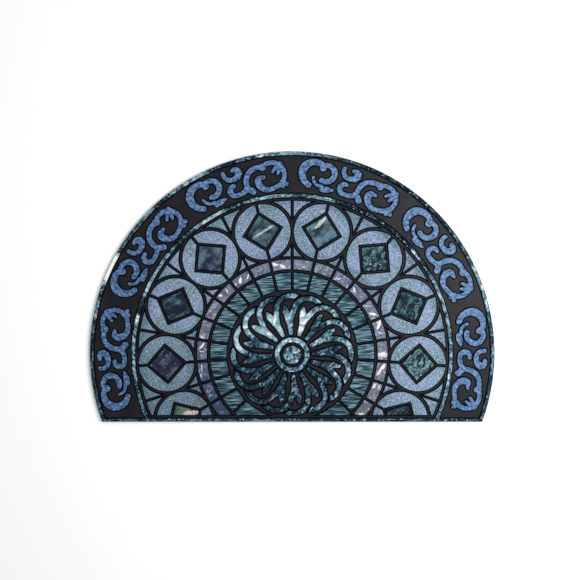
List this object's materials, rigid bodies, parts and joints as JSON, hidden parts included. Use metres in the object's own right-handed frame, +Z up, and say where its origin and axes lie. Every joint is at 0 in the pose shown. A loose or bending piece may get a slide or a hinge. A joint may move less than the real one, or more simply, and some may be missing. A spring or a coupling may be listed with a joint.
{
  "type": "half round doormat",
  "caption": "Half round moulded rubber doormat with a raised tile, rosette and scroll pattern inside a thin rim; lies flat on the floor in front of a door.",
  "frame": {"origin": "on the floor, under the middle of the mat's bounding box", "axes": "+X along the straight edge to the right, +Y from the straight edge to the top of the round edge, +Z up out of the floor"},
  "size_m": [0.9144, 0.6096, 0.008],
  "materials": {
    "ground_rubber": "matt charcoal recycled rubber",
    "marble_flock": "short flock printed as blue-green marble",
    "circle_flock": "short flock printed as blue-grey heather",
    "scroll_flock": "short flock printed as cornflower blue denim",
    "square_flock": "short flock printed as dark green-blue marble",
    "small_brick_flock": "short flock printed as lavender marble with pale veins",
    "large_brick_flock": "short flock printed as teal slate with dark streaks"
  },
  "bodies": {
    "root": {"mat": "ground_rubber"}
  },
  "joints": []
}
